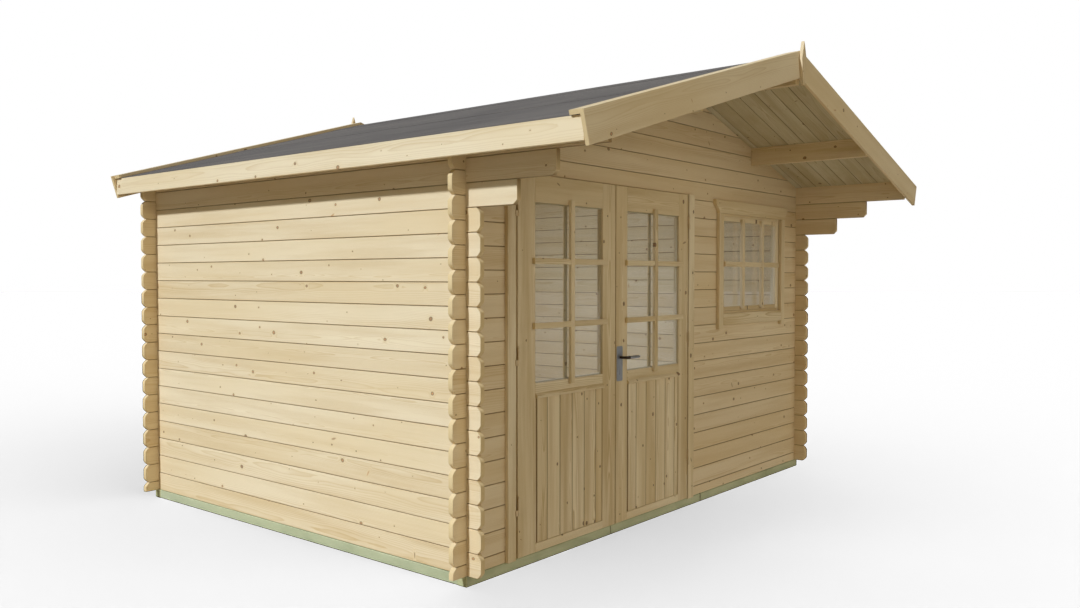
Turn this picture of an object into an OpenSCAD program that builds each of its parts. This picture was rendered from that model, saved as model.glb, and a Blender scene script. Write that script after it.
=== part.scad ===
// Garden log cabin with a low gable roof, a front canopy carried on
// stepped log brackets, a glazed double door and one window.
// House axes used below: x runs along the front from the outer face of the
// left wall, y runs back from the outer face of the front wall, and z is
// measured from the top of the foundation beams. place() moves these to the
// part's own frame: +Z up, front toward -Y, origin on the ground under the
// middle of the roof.

/* [Logs] */
// Height of one log course
course_h = 114; // [100:1:130]
// Thickness of the planed logs
log_t = 28; // [28:1:40]
// Depth and half-height of the V joint between two logs
vee = 4; // [2:0.5:5]
// How far the log ends run past the corner
log_end = 90; // [70:1:110]
// How far the milled log end is cut back at the joint
end_cut = 26; // [10:1:30]
// Height of the milled curve at the top and bottom of a log end
end_rise = 29; // [18:1:32]

/* [Plan] */
// Width over the outer faces of the side walls
wall_w = 3620; // [3500:10:4200]
// Depth over the outer faces of the front and back walls
wall_d = 2820; // [2400:10:3400]
// Height of the treated foundation beams
beam_h = 50; // [40:1:70]
// Width of the foundation beams
beam_w = 60; // [45:1:70]
// How far the beams stand out from the wall faces
beam_out = 5; // [0:1:8]
// Thickness of the floor boards
floor_t = 18; // [16:1:21]
// Number of joists under the floor
joists = 6; // [4:1:8]

/* [Roof] */
// Roof pitch in degrees
pitch = 16.6; // [15:0.1:18]
// Underside of the roof boards at the outer face of a side wall
roof_z0 = 2058; // [2055:1:2066]
// Thickness of the roof boards
roof_board_t = 19; // [16:1:22]
// Thickness of the felt
felt_t = 3; // [2:0.5:4]
// Eaves overhang, from the side wall to the ends of the bargeboards
eaves = 188; // [160:1:220]
// Canopy depth, from the front wall to the face of the front bargeboards
canopy = 818; // [740:1:860]
// Overhang at the back, to the face of the back bargeboards
back_over = 180; // [150:1:220]
// Width of the bargeboards below the top of the roof boards
barge_w = 121; // [100:1:130]
// Thickness of bargeboards, fascias, cap strips and finials
barge_t = 20; // [16:1:22]
// Width of the cap strips behind the bargeboards
cap_w = 62; // [40:1:80]
// Width of the left eaves fascia
fascia_w = 103; // [96:1:110]
// How far the fascias stand back from the ends of the bargeboards
fascia_in = 24; // [10:1:30]
// Width of the right eaves fascia
right_fascia_w = 66; // [50:1:120]
// Thickness of the purlins
purlin_t = 44; // [38:1:58]
// Distance of the side purlins from the outer face of the side wall
purlin_x = 726; // [640:1:820]
// Forward reach of the lower brackets
bracket1 = 311; // [260:1:340]
// Forward reach of the upper brackets
bracket2 = 531; // [480:1:600]
// Width of the pointed finial boards
finial_w = 62; // [50:1:80]

/* [Door] */
// Left edge of the doorway in the logs
door_x0 = 300; // [290:1:320]
// Right edge of the doorway in the logs
door_x1 = 2010; // [2000:1:2030]
// Head of the doorway
door_z1 = 1908; // [1908:1:1920]
// Thickness of a door leaf
leaf_t = 38; // [34:1:44]
// How far the closed leaves stand out from the wall face
leaf_out = 18; // [14:1:20]
// Joint between the two leaves
door_mid = 1179.5; // [1150:0.5:1200]
// Gap around the leaves
door_gap = 7; // [6:0.5:8]
// Width of the outer stiles
stile_w = 134; // [110:1:140]
// Width of the meeting stiles
meet_w = 119; // [100:1:126]
// Height of the glass, from its lower to its upper edge
glass_z0 = 860; // [800:1:900]
glass_z1 = 1766; // [1700:1:1780]
// Height of the middle rail and of the visible bottom rail
mid_rail = 76; // [60:1:90]
bottom_rail = 44; // [40:1:80]
// Width and thickness of the casing boards at the doorway
casing_w = 60; // [50:1:75]
casing_t = 22; // [16:1:24]
// Height of the lever handle above the beams
lever_z = 941; // [900:1:1050]

/* [Window] */
// Left and right edges of the window opening in the logs
win_x0 = 2412; // [2400:1:2430]
win_x1 = 3296; // [3280:1:3300]
// Sill and head of the window opening
win_z0 = 1140; // [1130:1:1160]
win_z1 = 1822; // [1800:1:1830]
// Thickness of the window casing boards
win_case_t = 25; // [18:1:28]

/* [Hidden] */
$fn = 32;

h = course_h;
t = log_t;
W = wall_w;
D = wall_d;
e = log_end;
slope = tan(pitch);
finial_t = barge_t;
y_front = -canopy - finial_t;          // front of the front finial
y_back = D + back_over + finial_t;     // back of the back finial
y_mid = (y_front + y_back) / 2;
ridge_under = roof_z0 + W / 2 * slope; // underside of the boards at the ridge
ridge_z0 = ridge_under - 143;            // underside of the ridge purlin
deck = roof_board_t / cos(pitch);      // upright thickness of the boards
felt = felt_t / cos(pitch);
top0 = roof_z0 + deck + felt;          // top of the felt at the side wall
hull_y0 = -canopy + barge_t;           // boards and purlins end here
hull_y1 = D + back_over - barge_t;
leaf_z0 = 6;
leaf_z1 = 1903;
leaf_y0 = -leaf_out;
leaf_y1 = leaf_t - leaf_out;
jamb = 38;
fascia_x = fascia_in - eaves;         // outer face of the left fascia
casing_x = door_x0 + jamb - 10;        // edge of the left casing board
left_x0 = door_x0 + jamb + door_gap;
right_x1 = door_x1 - jamb - door_gap;
hinge_y = leaf_y0 - 7;
hinge_xl = left_x0 - 3;
hinge_xr = right_x1 + 3;
hinge_zs = [220, 960, 1690];
plate_x = door_mid + 38;               // middle of the lock plate

softwood = "#dcb881";
treated = "#8d9a63";
grey_felt = "#54565a";
steel = "#9ea1a6";
pane = [0.75, 0.8, 0.82, 0.35];

module place() translate([-W / 2, -y_mid, beam_h]) children();
// the same shape again, mirrored to the other side of the cabin
module both_sides() { children(); translate([W, 0, 0]) mirror([1, 0, 0]) children(); }
module box(a, b) translate(a) cube([b[0] - a[0], b[1] - a[1], b[2] - a[2]]);

// Joints between courses that lie inside z0..z1; shift is 0 for the side
// walls and 0.5 for the front and back walls.
function joints(z0, z1, shift) =
  [for (k = [-1:24]) if ((k + shift) * h > z0 + vee && (k + shift) * h < z1 - vee) (k + shift) * h];
// One face of a stack of logs, bottom to top, with a vee at every joint
function face_pts(z0, z1, shift) = concat([[vee / 2, z0], [0, z0 + vee / 2]],
  [for (j = joints(z0, z1, shift)) each [[0, j - vee], [vee, j], [0, j + vee]]],
  [[0, z1 - vee / 2], [vee / 2, z1]]);
function flip(p, w) = [for (i = [len(p) - 1:-1:0]) [w - p[i][0], p[i][1]]];
module stack_section(z0, z1, shift, w = t)
  polygon(concat(face_pts(z0, z1, shift), flip(face_pts(z0, z1, shift), w)));

// Stack of logs along x or along y
module stack_x(x0, x1, z0, z1, shift = 0.5)
  translate([x0, 0, 0]) rotate([90, 0, 90]) linear_extrude(x1 - x0) stack_section(z0, z1, shift);
module stack_y(y0, y1, z0, z1, shift = 0)
  translate([0, y1, 0]) rotate([90, 0, 0]) linear_extrude(y1 - y0) stack_section(z0, z1, shift);

// Curve of a milled log end: cut back at the joint, full length away from it
function mill(u) = u >= end_rise ? 0 : end_cut * pow(1 - u / end_rise, 1.5);
steps = [0, 0.22, 0.5, 0.78, 1];
// Milled end profile: [reach, z] pairs going up, e is the full reach
function end_pts(z0, z1, shift) = let (js = concat(
    [for (k = [-1:24]) if ((k + shift) * h >= z0 - 1 && (k + shift) * h <= z1 + 1) (k + shift) * h]))
  concat(len(js) == 0 || js[0] > z0 + 1 ? [[e, z0]] : [],
  [for (j = js) each concat(
    j > z0 + 1 ? [for (i = [4:-1:1]) [e - mill(steps[i] * end_rise), j - steps[i] * end_rise]] : [],
    [[e - end_cut, j]],
    j < z1 - 1 ? [for (i = [1:4]) [e - mill(steps[i] * end_rise), j + steps[i] * end_rise]] : [])],
  len(js) == 0 || js[len(js) - 1] < z1 - 1 ? [[e, z1]] : []);
// Outline of a wall seen square on, from a to b plus milled ends where asked
module outline(a, b, z0, z1, shift, mill_a = true, mill_b = true) {
  p = end_pts(z0, z1, shift);
  n = len(p);
  polygon(concat(
    mill_b ? [for (i = [0:n - 1]) [b + p[i][0], p[i][1]]] : [[b, z0], [b, z1]],
    mill_a ? [for (i = [n - 1:-1:0]) [a - p[i][0], p[i][1]]] : [[a, z1], [a, z0]]));
}
// Logs along x, milled past x = 0 and / or x = W
module wall_x(x0, x1, z0, z1, mill_a = false, mill_b = false, shift = 0.5) intersection() {
  stack_x(x0 - (mill_a ? e : 0), x1 + (mill_b ? e : 0), z0, z1, shift);
  translate([0, t + 1, 0]) rotate([90, 0, 0]) linear_extrude(t + 2)
    outline(x0, x1, z0, z1, shift, mill_a, mill_b);
}
// Logs along y
module wall_y(y0, y1, z0, z1, mill_a = true, mill_b = true, shift = 0) intersection() {
  stack_y(y0 - (mill_a ? e : 0), y1 + (mill_b ? e : 0), z0, z1, shift);
  translate([-1, 0, 0]) rotate([90, 0, 90]) linear_extrude(t + 2)
    outline(y0, y1, z0, z1, shift, mill_a, mill_b);
}
// Crossing of two walls: the logs are notched a quarter of their height from
// above and below, so the crossing is shared out in half-course steps.
module cross_x(z0, z1) for (k = [-1:20]) { // parts of the crossing that x logs give up
  a = max(z0 - 2, (k + 0.25) * h); b = min(z1 + 2, (k + 0.75) * h);
  if (b > a) for (x = [0, W - t]) box([x, -1, a], [x + t, t + 1, b]);
}
module cross_y(z0, z1) for (k = [-1:20]) { // parts that y logs give up
  a = max(z0 - 2, (k - 0.25) * h); b = min(z1 + 2, (k + 0.25) * h);
  if (b > a) for (y = [0, D - t]) box([-1, y, a], [t + 1, y + t, b]);
}

// ---------- foundation and floor ----------
module front_back_beams() color(treated) place()
  for (y = [-beam_out, D + beam_out - beam_w])
    box([-beam_out, y, -beam_h], [W + beam_out, y + beam_w, 0]);
module side_beams() color(treated) place() both_sides()
  box([-beam_out, beam_w - beam_out, -beam_h], [beam_w - beam_out, D + beam_out - beam_w, 0]);
module floor_joists() color(treated) place() for (i = [1:joists])
  translate([beam_w + (W - 2 * beam_w) * i / (joists + 1) - 22, beam_w - beam_out, -beam_h])
    cube([44, D + 2 * beam_out - 2 * beam_w, beam_h]);
module floor_boards() color(softwood) place() difference() {
  box([t + 3, t + 3, 0], [W - t - 3, D - t - 3, floor_t]);
  box([door_x0 - 2, 0, -1], [door_x1 + 2, 66, floor_t + 1]);
}

// ---------- walls ----------
module left_wall() color(softwood) place() difference() {
  wall_y(0, D, 0, 15 * h);
  cross_y(0, 15 * h);
}
module right_wall() color(softwood) place() translate([W, 0, 0]) mirror([1, 0, 0]) difference() {
  wall_y(0, D, 0, 15 * h);
  cross_y(0, 15 * h);
}
module back_wall() color(softwood) place() difference() {
  translate([0, D, 0]) mirror([0, 1, 0]) wall_x(0, W, 0, 17.5 * h, true, true);
  translate([0, D - t, 0]) cross_x(0, 17.5 * h);
}
module front_wall_left() color(softwood) place() difference() {
  wall_x(0, door_x0, 0, 16.5 * h, true, false);
  cross_x(0, 16.5 * h);
}
module front_wall_middle() color(softwood) place()
  stack_x(door_x1, win_x0, 0, 16.5 * h);
module front_wall_right() color(softwood) place() difference() {
  wall_x(win_x1, W, 0, 16.5 * h, false, true);
  cross_x(0, 16.5 * h);
}
module front_wall_at_window() color(softwood) place() {
  stack_x(win_x0, win_x1, 0, win_z0);
  stack_x(win_x0, win_x1, win_z1, 16.5 * h);
}
module front_lintel_log() color(softwood) place() difference() {
  wall_x(0, W, 16.5 * h, 17.5 * h, true, true);
  cross_x(16.5 * h, 17.5 * h);
  box([door_x0, -1, 16.5 * h - 1], [door_x1, t + 1, door_z1]);
}
// Gable logs fill up to the underside of the roof boards, with room for the purlins
module gable(inner) difference() {
  intersection() {
    stack_x(t, W - t, 17.5 * h, ridge_under);
    translate([0, t + 1, 0]) rotate([90, 0, 0]) linear_extrude(t + 2) polygon([
      [t, 17.5 * h], [W - t, 17.5 * h], [W - t, roof_z0 + t * slope - 0.2],
      [W / 2, ridge_under - 0.2], [t, roof_z0 + t * slope - 0.2]]);
  }
  box([W / 2 - purlin_t / 2, -1, ridge_z0], [W / 2 + purlin_t / 2, t + 1, ridge_under + 1]);
  both_sides() box([purlin_x, -1, 19 * h], [purlin_x + purlin_t, t + 1, ridge_under]);
}
module front_gable() color(softwood) place() gable();
module back_gable() color(softwood) place() translate([0, D - t, 0]) gable();

// ---------- stepped brackets and wall plates ----------
// A side log with a milled back end and a long front end, its lower front
// corner taken off
module long_log(front, z0, z1, back = -1) difference() {
  intersection() {
    stack_y(-front, back < 0 ? D + e : back, z0, z1);
    if (back < 0) translate([-1, 0, 0]) rotate([90, 0, 90]) linear_extrude(t + 2)
      outline(-front, D, z0, z1, 0, false, true);
    else box([-1, -front, z0], [t + 1, back, z1]);
  }
  cross_y(z0, z1);
  if (back < 0) translate([-1, -front, z0]) rotate([90, 0, 90]) linear_extrude(t + 2)
    polygon([[-1, -1], [21, -1], [17, 2.5], [2.5, 17], [-1, 21]]);
}
module lower_brackets() color(softwood) place() both_sides() long_log(bracket1, 15 * h, 16 * h);
module upper_brackets() color(softwood) place() both_sides() long_log(bracket2, 16 * h, 17 * h);
// The plate runs the whole length of the roof, bevelled to its pitch
module wall_plates() color(softwood) place() both_sides() intersection() {
  long_log(-hull_y0, 17 * h, 18.4 * h, hull_y1);
  translate([0, hull_y1 + 1, 0]) rotate([90, 0, 0]) linear_extrude(hull_y1 - hull_y0 + 2)
    polygon([[-1, 17 * h - 1], [t + 1, 17 * h - 1], [t + 1, roof_z0 + (t + 1) * slope - 0.2], [-1, roof_z0 - slope - 0.2]]);
}

// ---------- door ----------
module door_frame() color(softwood) place() union() {
  box([door_x0, 0, 0], [door_x0 + jamb, 62, door_z1]);
  box([door_x1 - jamb, 0, 0], [door_x1, 62, door_z1]);
  // rebates behind the leaves, head and threshold
  box([door_x0 + jamb - 1, leaf_y1 + 5, 0], [left_x0 + 12, 62, door_z1]);
  box([right_x1 - 12, leaf_y1 + 5, 0], [door_x1 - jamb + 1, 62, door_z1]);
  box([door_x0 + jamb - 1, leaf_y1 + 5, leaf_z1 - 14], [door_x1 - jamb + 1, 62, door_z1]);
  box([door_x0 + jamb - 1, leaf_y1 + 5, 0], [door_x1 - jamb + 1, 62, 24]);
}
module door_casing() color(softwood) place() {
  box([casing_x - casing_w, -casing_t, 0], [casing_x, 0, door_z1 - 2]);
  box([door_x1 - jamb + 2, -casing_t, 0], [door_x1 - jamb + 10 + casing_w, 0, door_z1 - 2]);
}
module door_hinge_pins() color(steel) place() for (z = hinge_zs) {
  for (s = [[hinge_xl, -1], [hinge_xr, 1]]) translate([s[0], hinge_y, z]) {
    cylinder(r = 3, h = 96);
    translate([0, 0, -2]) cylinder(r = 6, h = 30);
    box([s[1] < 0 ? -22 : 2, -1.5, -2], [s[1] < 0 ? -2 : 14, 1.5, 28]);
    box([s[1] < 0 ? -22 : 10, -1.5, -2], [s[1] < 0 ? -18 : 14, -hinge_y - casing_t, 28]);
  }
}
// stiles: x-ranges of the two uprights of a leaf
module leaf_stiles(a, b, wa, wb) {
  box([a, leaf_y0, leaf_z0], [a + wa, leaf_y1, leaf_z1]);
  box([b - wb, leaf_y0, leaf_z0], [b, leaf_y1, leaf_z1]);
}
module leaf_rails(a, b) {
  box([a, leaf_y0, leaf_z0], [b, leaf_y1, leaf_z0 + bottom_rail]);
  box([a, leaf_y0, glass_z0 - mid_rail], [b, leaf_y1, glass_z0]);
  // sloping weather ledge over the boards
  translate([a, leaf_y0, glass_z0 - mid_rail]) rotate([90, 0, 90]) linear_extrude(b - a)
    polygon([[0, 0], [-12, 0], [-14, 4], [-14, 13], [0, 27]]);
  box([a, leaf_y0, glass_z1], [b, leaf_y1, leaf_z1]);
}
module leaf_boards(a, b) {
  // joints at an even pitch; a rebate beside the first stile
  js = [for (x = [a + 101:105:b - 30]) x];
  z0 = leaf_z0 + bottom_rail;
  z1 = glass_z0 - mid_rail;
  translate([0, 0, z0]) linear_extrude(z1 - z0) polygon(concat(
    [[a, leaf_y0 + 12], [a + 18, leaf_y0 + 12], [a + 19, leaf_y0 + 4]],
    [for (x = js) each [[x - 3, leaf_y0 + 4], [x, leaf_y0 + 7], [x + 3, leaf_y0 + 4]]],
    [[b, leaf_y0 + 4], [b, leaf_y1 - 9]],
    [for (i = [len(js) - 1:-1:0]) each [[js[i] + 3, leaf_y1 - 9], [js[i], leaf_y1 - 12], [js[i] - 3, leaf_y1 - 9]]],
    [[a, leaf_y1 - 9]]));
}
module leaf_glass(a, b) box([a - 8, -10, glass_z0 - 8], [b + 8, -6, glass_z1 + 8]);
// groove for the glass in stiles and rails
module glass_groove(a, b) box([a - 9, -10.5, glass_z0 - 9], [b + 9, -5.5, glass_z1 + 9]);
lg0 = left_x0 + stile_w; lg1 = door_mid - 3 - meet_w;
rg0 = door_mid + 6 + meet_w - 9; rg1 = right_x1 - 106;
module left_door_stiles() color(softwood) place() difference() {
  leaf_stiles(left_x0, door_mid - 3, stile_w, meet_w);
  glass_groove(lg0, lg1);
}
module left_door_rails() color(softwood) place() difference() {
  leaf_rails(lg0, lg1);
  glass_groove(lg0, lg1);
}
module left_door_boards() color(softwood) place() leaf_boards(lg0, lg1);
module left_door_glass() color(pane) place() leaf_glass(lg0, lg1);
module knuckle(x, s) for (z = hinge_zs) translate([x, hinge_y, z + 28.5]) difference() {
  union() {
    cylinder(r = 6, h = 60);
    box([s > 0 ? 0 : -16, 3, 0], [s > 0 ? 16 : 0, leaf_y0 - hinge_y, 60]);
  }
  translate([0, 0, -1]) cylinder(r = 3.4, h = 70);
}
module left_door_knuckles() color(steel) place() knuckle(hinge_xl, 1);
module right_door_stiles() color(softwood) place() difference() {
  leaf_stiles(door_mid + 6, right_x1, meet_w - 9, 106);
  glass_groove(rg0, rg1);
  translate([plate_x, leaf_y0 - 1, lever_z]) rotate([-90, 0, 0]) cylinder(r = 11, h = leaf_t + 2);
}
module right_door_rails() color(softwood) place() difference() {
  leaf_rails(rg0, rg1);
  glass_groove(rg0, rg1);
}
module right_door_boards() color(softwood) place() leaf_boards(rg0, rg1);
module right_door_glass() color(pane) place() leaf_glass(rg0, rg1);
module right_door_knuckles() color(steel) place() knuckle(hinge_xr, -1);
// Long plates inside and outside, each with a bored boss for the spindle
module door_handle_plates() color(steel) place() translate([plate_x, 0, lever_z]) difference() {
  union() {
    translate([0, leaf_y0, 0]) { box([-28, -4, -133], [28, 0, 63]); rotate([90, 0, 0]) cylinder(r = 13, h = 8); }
    translate([0, leaf_y1, 0]) { box([-28, 0, -133], [28, 4, 63]); rotate([-90, 0, 0]) cylinder(r = 13, h = 8); }
  }
  translate([0, leaf_y0 - 20, 0]) rotate([-90, 0, 0]) cylinder(r = 8.5, h = leaf_t + 40);
}
module door_lever() color(steel) place() translate([plate_x, 0, lever_z]) {
  translate([0, leaf_y0 - 56, 0]) rotate([-90, 0, 0]) cylinder(r = 8, h = leaf_t + 112);
  for (y = [leaf_y0 - 50, leaf_y1 + 50]) {
    translate([0, y, 0]) rotate([0, 90, 0]) cylinder(r = 9, h = 122);
    translate([122, y, 0]) sphere(r = 9);
  }
}

// ---------- window ----------
wx0 = win_x0 + 4; wx1 = win_x1 - 4; wz0 = win_z0 + 4; wz1 = win_z1 - 4;
wg = 50; // width of frame and sash around the glass
module window_frame() color(softwood) place() difference() {
  box([wx0, 0, wz0], [wx1, 46, wz1]);
  box([wx0 + wg, -2, wz0 + wg], [wx1 - wg, 50, wz1 - wg]);
  box([wx0 + wg - 9, 15, wz0 + wg - 9], [wx1 - wg + 9, 20, wz1 - wg + 9]);
}
module window_glass() color(pane) place()
  box([wx0 + wg - 8, 15.5, wz0 + wg - 8], [wx1 - wg + 8, 19.5, wz1 - wg + 8]);
// Casing: two uprights, a bottom board between them and a shaped head board
module window_casing() color(softwood) place() {
  box([2361, -win_case_t, 1049], [2416, 0, 1812]);
  box([3292, -win_case_t, 1049], [3347, 0, 1812]);
  box([2417, -win_case_t, 1074], [3291, 0, 1150]);
  translate([0, 0, 1813]) rotate([90, 0, 0]) linear_extrude(win_case_t) polygon([
    [2361, 0], [3347, 0], [3347, 8], [3350, 16], [3358, 26], [3372, 37], [3384, 46], [3391, 56],
    [3393, 66], [3393, 86], [2315, 86], [2315, 66], [2317, 56], [2324, 46], [2336, 37], [2350, 26],
    [2358, 16], [2361, 8]]);
}

// ---------- roof ----------
module purlin(x, z0, w) intersection() {
  box([x, hull_y0, z0], [x + w, hull_y1, ridge_under + 10]);
  translate([0, hull_y1 + 1, 0]) rotate([90, 0, 0]) linear_extrude(hull_y1 - hull_y0 + 2)
    polygon([[0, roof_z0], [0, 0], [W, 0], [W, roof_z0], [W / 2, ridge_under]]);
}
module ridge_purlin() color(softwood) place() purlin(W / 2 - purlin_t / 2, ridge_z0, purlin_t);
module side_purlins() color(softwood) place() both_sides() purlin(purlin_x, 19 * h, purlin_t);
// A sloping slab on the left side: d0 and d1 are heights above the underside
// of the boards, y0..y1 its run, x0 and x1 its edges
module slab(d0, d1, y0, y1, x0, x1 = W / 2 - 0.3)
  translate([0, y1, 0]) rotate([90, 0, 0]) linear_extrude(y1 - y0)
    polygon([[x0, roof_z0 + x0 * slope + d0], [x1, roof_z0 + x1 * slope + d0],
      [x1, roof_z0 + x1 * slope + d1], [x0, roof_z0 + x0 * slope + d1]]);
module left_roof_boards() color(softwood) place() slab(0, deck, hull_y0, hull_y1, fascia_x + barge_t);
module right_roof_boards() color(softwood) place() translate([W, 0, 0]) mirror([1, 0, 0])
  slab(0, deck, hull_y0, hull_y1, fascia_x + barge_t);
module left_roof_felt() color(grey_felt) place() slab(deck, deck + felt, hull_y0, hull_y1, fascia_x);
module right_roof_felt() color(grey_felt) place() translate([W, 0, 0]) mirror([1, 0, 0])
  slab(deck, deck + felt, hull_y0, hull_y1, fascia_x);
module fascia(w) translate([0, hull_y1, 0]) rotate([90, 0, 0]) linear_extrude(hull_y1 - hull_y0) {
  zt = roof_z0 + fascia_x * slope + deck;
  polygon([[fascia_x, zt], [fascia_x, zt - w], [fascia_x + barge_t, zt - w], [fascia_x + barge_t, zt + barge_t * slope]]);
}
module eaves_fascias() color(softwood) place() {
  fascia(fascia_w);
  translate([W, 0, 0]) mirror([1, 0, 0]) fascia(right_fascia_w);
}
// Bargeboard and the cap strip behind it, flush on top and cut square to the
// slope at the eaves
module along_slope(y, w) both_sides() translate([-eaves, y + w, roof_z0 - eaves * slope + deck])
  rotate([90, 0, 0]) rotate([0, 0, pitch]) linear_extrude(w) children();
slant = (W / 2 + eaves) / cos(pitch);
cap_top = felt_t + 0.2 + barge_t;
module bargeboards() color(softwood) place() for (y = [-canopy, D + back_over - barge_t])
  along_slope(y, barge_t) polygon([[0, cap_top], [0, -barge_w], [slant - 1 - barge_w * slope, -barge_w], [slant - 1 + cap_top * slope, cap_top]]);
module cap_strips() color(softwood) place() for (y = [hull_y0, hull_y1 - cap_w])
  along_slope(y, cap_w) translate([0, felt_t + 0.2]) polygon([[14, 0], [slant - 1, 0], [slant - 1 + barge_t * slope, barge_t], [14, barge_t]]);
module finials() color(softwood) place() for (y = [-canopy - finial_t, D + back_over])
  translate([W / 2, y + finial_t, 2449]) rotate([90, 0, 0]) linear_extrude(finial_t)
    polygon([[-7, 0], [7, 0], [finial_w / 2, 140], [0, 241], [-finial_w / 2, 140]]);

front_back_beams();
side_beams();
floor_joists();
floor_boards();
left_wall();
right_wall();
back_wall();
front_wall_left();
front_wall_middle();
front_wall_right();
front_wall_at_window();
front_lintel_log();
front_gable();
back_gable();
lower_brackets();
upper_brackets();
wall_plates();
door_frame();
door_casing();
door_hinge_pins();
left_door_stiles();
left_door_rails();
left_door_boards();
left_door_glass();
left_door_knuckles();
right_door_stiles();
right_door_rails();
right_door_boards();
right_door_glass();
right_door_knuckles();
door_handle_plates();
door_lever();
window_frame();
window_glass();
window_casing();
ridge_purlin();
side_purlins();
left_roof_boards();
right_roof_boards();
left_roof_felt();
right_roof_felt();
eaves_fascias();
bargeboards();
cap_strips();
finials();
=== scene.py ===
import math
import random

import bpy
import numpy as np
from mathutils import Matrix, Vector


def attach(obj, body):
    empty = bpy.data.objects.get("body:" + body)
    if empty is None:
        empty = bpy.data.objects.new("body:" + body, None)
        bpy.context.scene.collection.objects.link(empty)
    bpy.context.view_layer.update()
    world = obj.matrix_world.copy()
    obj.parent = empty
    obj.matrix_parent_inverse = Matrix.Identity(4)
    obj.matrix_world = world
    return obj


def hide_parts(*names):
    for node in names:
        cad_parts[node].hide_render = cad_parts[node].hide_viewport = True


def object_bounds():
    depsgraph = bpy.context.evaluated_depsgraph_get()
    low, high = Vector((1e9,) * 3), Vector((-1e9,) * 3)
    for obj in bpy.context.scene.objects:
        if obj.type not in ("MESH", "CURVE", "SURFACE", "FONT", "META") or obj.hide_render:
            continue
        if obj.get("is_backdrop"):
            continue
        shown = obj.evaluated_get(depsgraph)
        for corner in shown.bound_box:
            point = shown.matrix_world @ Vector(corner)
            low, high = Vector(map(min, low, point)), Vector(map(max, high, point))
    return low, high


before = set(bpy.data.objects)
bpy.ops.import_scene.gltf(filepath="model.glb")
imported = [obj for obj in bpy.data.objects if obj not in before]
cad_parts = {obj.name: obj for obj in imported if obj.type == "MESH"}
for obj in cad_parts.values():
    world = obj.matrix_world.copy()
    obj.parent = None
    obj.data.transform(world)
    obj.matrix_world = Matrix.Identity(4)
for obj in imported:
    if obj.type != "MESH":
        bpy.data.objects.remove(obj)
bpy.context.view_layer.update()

# House axes, in metres: x from the outer face of the left wall, y back from
# the outer face of the front wall, z up from the top of the foundation beams.
W, D, H, T = 3.62, 2.82, 0.114, 0.028
YM = (-0.838 + 3.02) / 2
BEAM = 0.05
SHIFT = np.array([-W / 2, -YM, BEAM])
PITCH = math.radians(16.6)
SLOPE = math.tan(PITCH)
COS, SIN = math.cos(PITCH), math.sin(PITCH)
RZ = 2.058                      # underside of the roof boards at x = 0
DECK = 0.019 / COS
EAVES, CANOPY, BACK = 0.188, 0.818, 0.18
SLANT = (W / 2 + EAVES) / COS
Y0, Y1 = -CANOPY + 0.02, D + BACK - 0.02
FX = 0.024 - EAVES              # outer face of the left fascia
END, CUT, RISE, VEE = 0.090, 0.026, 0.029, 0.0038

rng = random.Random(20)


# ------------------------------------------------------------------ shapes
def unit(v):
    v = np.asarray(v, float)
    return v / np.linalg.norm(v)


class Axes:
    """Local axes a, b, c at an origin, in house metres."""

    def __init__(self, o, a, b, c):
        self.o = np.asarray(o, float)
        self.m = np.array([unit(a), unit(b), unit(c)])
        self.flip = np.linalg.det(self.m) < 0

    def at(self, p):
        return self.o + np.asarray(p, float) @ self.m


X, Y, Z = (1, 0, 0), (0, 1, 0), (0, 0, 1)
FRONT = Axes((0, 0, 0), X, Z, Y)               # outline in x, z; c runs back
BACKW = Axes((0, D, 0), X, Z, (0, -1, 0))      # c runs forward
LEFT = Axes((0, 0, 0), Y, Z, X)                # outline in y, z; c runs right
RIGHT = Axes((W, 0, 0), Y, Z, (-1, 0, 0))
FLAT = Axes((0, 0, 0), X, Y, Z)


def mirrored(ax):
    """The same axes on the other side of the cabin."""
    f = np.array([-1.0, 1.0, 1.0])
    return Axes((W - ax.o[0], ax.o[1], ax.o[2]), ax.m[0] * f, ax.m[1] * f, ax.m[2] * f)


def area(poly):
    p = np.asarray(poly)
    q = np.roll(p, -1, 0)
    return 0.5 * float(np.sum(p[:, 0] * q[:, 1] - q[:, 0] * p[:, 1]))


def inset(poly, d):
    """Moves each edge of a counter-clockwise outline inward by its own distance."""
    n, out = len(poly), []
    for i in range(n):
        p0, p1, p2 = (np.asarray(poly[j % n], float) for j in (i - 1, i, i + 1))
        e0, e1 = unit(p1 - p0), unit(p2 - p1)
        n0, n1 = np.array([-e0[1], e0[0]]), np.array([-e1[1], e1[0]])
        d0, d1 = d[i - 1], d[i]
        det = n0[0] * n1[1] - n0[1] * n1[0]
        if abs(det) < 1e-4:
            out.append(p1 + n0 * max(d0, d1))
        else:
            out.append(p1 + np.array([d0 * n1[1] - d1 * n0[1], n0[0] * d1 - n1[0] * d0]) / det)
    return out


def clip(poly, nx, ny, k):
    """The part of an outline where nx * a + ny * b <= k."""
    out = []
    for i, p in enumerate(poly):
        q = poly[(i + 1) % len(poly)]
        fp, fq = nx * p[0] + ny * p[1] - k, nx * q[0] + ny * q[1] - k
        if fp <= 0:
            out.append(p)
        if (fp < 0 < fq) or (fq < 0 < fp):
            t = fp / (fp - fq)
            out.append((p[0] + t * (q[0] - p[0]), p[1] + t * (q[1] - p[1])))
    return out


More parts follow.
